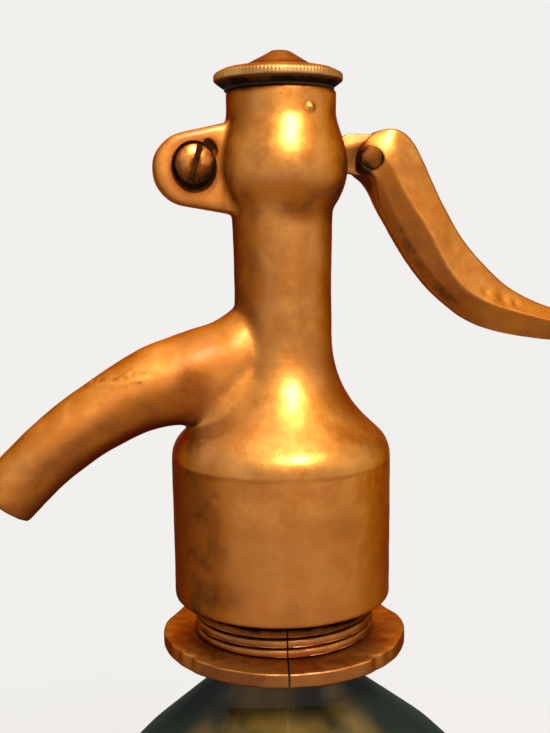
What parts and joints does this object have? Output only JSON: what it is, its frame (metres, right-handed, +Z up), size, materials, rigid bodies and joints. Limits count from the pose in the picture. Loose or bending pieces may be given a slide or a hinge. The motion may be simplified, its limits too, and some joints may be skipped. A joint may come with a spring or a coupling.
{
  "type": "soda siphon",
  "caption": "Refillable soda siphon: a pressed lever opens a valve in the cast head and lets the glass bottle's drink out of the curved spout.",
  "frame": {"origin": "centre of the bottle's base, on the siphon's axis", "axes": "+Z up along the siphon's axis, -X towards the spout, +X towards the lever"},
  "size_m": [0.149, 0.1, 0.3206],
  "materials": {
    "teal_glass": "thick blue-green bottle glass",
    "clear_glass": "clear drawn glass tube",
    "cast_metal": "hand-worn satin casting",
    "collar_brass": "dull tarnished turned brass",
    "cap_brass": "dark bronze patina, bright at the rim",
    "screw_brass": "tarnished screw brass",
    "inner_brass": "turned, unpolished",
    "spring_wire": "drawn spring wire",
    "rubber": "matt black rubber",
    "leather": "oiled packing leather"
  },
  "bodies": {
    "siphon": {"bottle": "teal_glass", "collar_half_spout": "collar_brass", "collar_half_lever": "collar_brass", "neck_gasket": "rubber", "head_body": "cast_metal", "top_cap": "cap_brass", "cap_washer": "leather", "pivot_screw": "screw_brass", "return_spring": "spring_wire", "packing_washer": "inner_brass", "cup_leather": "leather", "gland_nut": "inner_brass", "valve_seat": "inner_brass", "tube_holder": "inner_brass", "tube_seal": "rubber", "tube_nut": "inner_brass", "dip_tube": "clear_glass"},
    "lever": {"lever_arm": "inner_brass", "lever_handle": "cast_metal", "handle_pin": "screw_brass"},
    "plunger": {"plunger_head": "inner_brass", "valve_stem": "inner_brass", "valve_disc": "rubber", "valve_plate": "inner_brass", "valve_nut": "inner_brass"}
  },
  "joints": [
    {"name": "lever_press", "type": "hinge", "parent": "siphon", "child": "lever", "pos_m": [-0.0182, 0, 0.2974], "axis": [0, 1, 0], "range_deg": [0, 9.5], "stiffness_Nm_per_rad": 0.6, "springref_deg": -28.65},
    {"name": "plunger_slide", "type": "slide", "parent": "siphon", "child": "plunger", "axis": [0, 0, -1], "range_m": [0, 0.00302], "deforming": ["return_spring"]}
  ],
  "couplings": [
    {"joint": "plunger_slide", "follows": "lever_press", "m_per_rad": 0.0182}
  ]
}
